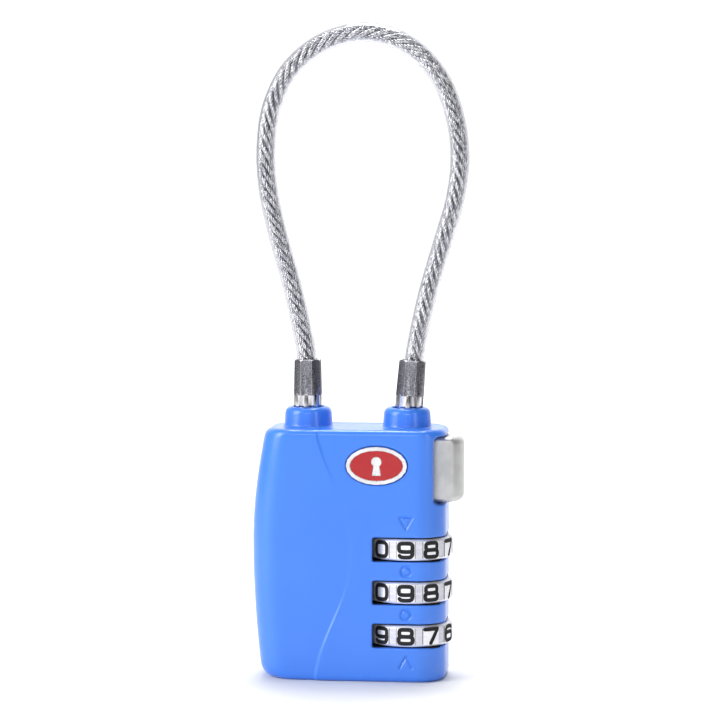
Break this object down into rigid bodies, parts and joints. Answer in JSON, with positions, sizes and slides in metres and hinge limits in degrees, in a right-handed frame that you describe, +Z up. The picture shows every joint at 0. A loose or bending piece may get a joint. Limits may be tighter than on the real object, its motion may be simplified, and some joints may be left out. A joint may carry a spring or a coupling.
{
  "type": "combination padlock",
  "caption": "Luggage padlock with a short cable loop, number dials on its right side, a side release button and a keyway underneath.",
  "frame": {"origin": "on the casing's flat underside, midway between front and back and near the middle of the width", "axes": "+Z up along the cable loop, +Y out of the casing's back, +X towards the release button; the number dials show at the front, -Y"},
  "size_m": [0.0337, 0.0143, 0.1025],
  "materials": {
    "casing_blue": "glossy blue paint on a zinc die casting",
    "nickel": "bright nickel plate",
    "satin_metal": "satin nickel",
    "enamel_red": "glossy red enamel",
    "steel": "bright drawn steel",
    "spring_steel": "spring steel, lightly oiled",
    "brass": "machined brass",
    "clear_jacket": "clear soft vinyl"
  },
  "bodies": {
    "casing": {"front_casing": "casing_blue", "back_cover": "casing_blue", "cover_rivet_1": "satin_metal", "cover_rivet_2": "satin_metal", "cover_rivet_3": "satin_metal", "cover_rivet_4": "satin_metal", "badge_plate": "nickel", "badge_enamel": "enamel_red", "click_spring": "spring_steel", "latch_clip": "spring_steel", "button_spring": "spring_steel", "spindle_spring": "spring_steel", "reset_spring": "spring_steel", "lock_cylinder_sleeve": "brass", "fixed_ferrule": "nickel", "anchor_clip": "spring_steel", "cable_core": "steel", "cable_jacket": "clear_jacket"},
    "button": {"release_button": "satin_metal"},
    "spindle": {"dial_spindle": "steel"},
    "reset": {"reset_pin": "brass"},
    "key": {"key_plug": "brass", "key_wafer_1": "brass", "key_wafer_2": "brass", "key_wafer_3": "brass", "key_wafer_4": "brass"},
    "free_end": {"free_ferrule": "nickel", "latch_pin": "steel"},
    "dial_1": {"number_dial_1": "nickel"},
    "sleeve_1": {"dial_sleeve_1": "brass"},
    "dial_2": {"number_dial_2": "nickel"},
    "sleeve_2": {"dial_sleeve_2": "brass"},
    "dial_3": {"number_dial_3": "nickel"},
    "sleeve_3": {"dial_sleeve_3": "brass"}
  },
  "joints": [
    {"name": "button_press", "type": "slide", "parent": "casing", "child": "button", "axis": [1, 0, 0], "range_m": [-0.0018, 0], "stiffness_N_per_m": 1500, "deforming": ["button_spring", "latch_clip"]},
    {"name": "spindle_drop", "type": "slide", "parent": "casing", "child": "spindle", "axis": [0, 0, 1], "range_m": [-0.0015, 0], "deforming": ["spindle_spring"]},
    {"name": "dial_spin_1", "type": "hinge", "parent": "casing", "child": "dial_1", "pos_m": [0.0095, -0.0006, 0.0208], "axis": [0, 0, 1], "continuous": true},
    {"name": "sleeve_shift_1", "type": "slide", "parent": "dial_1", "child": "sleeve_1", "axis": [0, 0, 1], "range_m": [0, 0.0015]},
    {"name": "dial_spin_2", "type": "hinge", "parent": "casing", "child": "dial_2", "pos_m": [0.0095, -0.0006, 0.01405], "axis": [0, 0, 1], "continuous": true},
    {"name": "sleeve_shift_2", "type": "slide", "parent": "dial_2", "child": "sleeve_2", "axis": [0, 0, 1], "range_m": [0, 0.0015]},
    {"name": "dial_spin_3", "type": "hinge", "parent": "casing", "child": "dial_3", "pos_m": [0.0095, -0.0006, 0.0073], "axis": [0, 0, 1], "continuous": true},
    {"name": "sleeve_shift_3", "type": "slide", "parent": "dial_3", "child": "sleeve_3", "axis": [0, 0, 1], "range_m": [0, 0.0015]},
    {"name": "reset_push", "type": "slide", "parent": "casing", "child": "reset", "axis": [0, 0, -1], "range_m": [-0.0015, 0], "stiffness_N_per_m": 600, "deforming": ["reset_spring", "spindle_spring"]},
    {"name": "key_turn", "type": "hinge", "parent": "casing", "child": "key", "pos_m": [-0.0067, 0, 0.01], "axis": [0, 0, 1], "range_deg": [0, 90], "deforming": ["latch_clip"]},
    {"name": "cable_end_pull", "type": "slide", "parent": "casing", "child": "free_end", "axis": [0, 0, 1], "range_m": [0, 0.015], "deforming": ["cable_core", "cable_jacket", "latch_clip"]}
  ],
  "couplings": [
    {"joint": "spindle_drop", "follows": "button_press", "ratio": 0.8333},
    {"joint": "sleeve_shift_1", "follows": "reset_push", "ratio": -1},
    {"joint": "sleeve_shift_2", "follows": "reset_push", "ratio": -1},
    {"joint": "sleeve_shift_3", "follows": "reset_push", "ratio": -1}
  ]
}
